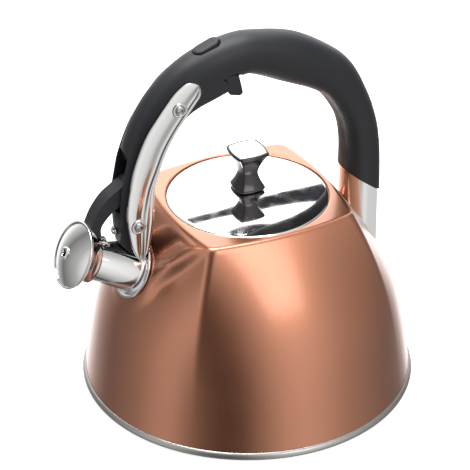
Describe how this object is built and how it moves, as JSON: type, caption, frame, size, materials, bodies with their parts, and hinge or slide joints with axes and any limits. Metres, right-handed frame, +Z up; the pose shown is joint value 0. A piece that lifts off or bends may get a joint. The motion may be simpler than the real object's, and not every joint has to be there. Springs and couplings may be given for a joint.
{
  "type": "stovetop whistling kettle",
  "caption": "Bowed-square stovetop kettle with a lift-off lid, a tilted spout with a swinging whistle cap, and an arched handle whose thumb button opens the cap.",
  "frame": {"origin": "centre of the round face under the base that rests on the hob", "axes": "+Z up along the axis of the lid, -X towards the spout, +Y to the left-hand side of a person who holds the handle and pours away from themselves"},
  "size_m": [0.2427, 0.22, 0.2529],
  "materials": {
    "copper_coat": "satin metallic rose-copper coating over steel sheet",
    "satin_steel": "satin",
    "polished_steel": "mirror polished stainless steel",
    "plain_steel": "machined",
    "core_aluminium": "plain",
    "gloss_knob": "gloss brown-black",
    "soft_plastic": "soft-touch charcoal"
  },
  "bodies": {
    "kettle": {"body_shell": "copper_coat", "neck_ring": "copper_coat", "base_pan": "satin_steel", "heat_spreader": "core_aluminium", "induction_cap": "satin_steel", "spout_collar": "polished_steel", "spout_tube": "polished_steel", "arm_pin": "plain_steel", "arm_spring": "plain_steel", "cheek_near": "polished_steel", "cheek_far": "polished_steel", "cheek_screws": "plain_steel", "leg_screw": "plain_steel", "handle_grip": "soft_plastic", "mechanism_cover": "soft_plastic", "cover_screw": "plain_steel", "trigger_pin": "plain_steel", "button_spring": "plain_steel", "rear_bracket": "polished_steel", "rear_foot": "satin_steel", "rear_tang": "satin_steel", "foot_rivets": "plain_steel", "grip_screws": "plain_steel"},
    "lid": {"lid_shell": "polished_steel", "lid_liner": "satin_steel", "lid_skirt": "satin_steel", "lid_knob": "gloss_knob", "knob_disc": "polished_steel", "knob_screw": "plain_steel", "knob_washer": "polished_steel"},
    "cap_arm": {"whistle_arm": "soft_plastic", "cap_clip": "polished_steel", "whistle_cap": "polished_steel", "whistle_face": "polished_steel", "whistle_hub": "polished_steel", "whistle_sleeve": "polished_steel", "whistle_rear_disc": "satin_steel", "whistle_front_disc": "satin_steel"},
    "lever": {"trigger": "soft_plastic", "link_pin": "plain_steel"},
    "link": {"push_link": "plain_steel"},
    "button": {"thumb_button": "soft_plastic"}
  },
  "joints": [
    {"name": "lid_lift", "type": "slide", "parent": "kettle", "child": "lid", "axis": [0, 0, 1], "range_m": [0, 0.035]},
    {"name": "arm_swing", "type": "hinge", "parent": "kettle", "child": "cap_arm", "pos_m": [-0.083, 0, 0.163], "axis": [0, 1, 0], "range_deg": [0, 42], "stiffness_Nm_per_rad": 0.03, "springref_deg": -20.05},
    {"name": "trigger_pull", "type": "hinge", "parent": "kettle", "child": "lever", "pos_m": [-0.025, 0, 0.2215], "axis": [0, -1, 0], "range_deg": [0, 16.5]},
    {"name": "link_fold", "type": "hinge", "parent": "lever", "child": "link", "pos_m": [-0.0536, 0, 0.226], "axis": [0, 1, 0], "range_deg": [0, 17]},
    {"name": "button_press", "type": "slide", "parent": "kettle", "child": "button", "axis": [0, 0, -1], "range_m": [0, 0.0025], "deforming": ["button_spring"]}
  ],
  "couplings": [
    {"joint": "trigger_pull", "follows": "arm_swing", "ratio": 0.383},
    {"joint": "link_fold", "follows": "arm_swing", "ratio": 0.3925},
    {"joint": "button_press", "follows": "arm_swing", "m_per_rad": 0.003274}
  ]
}
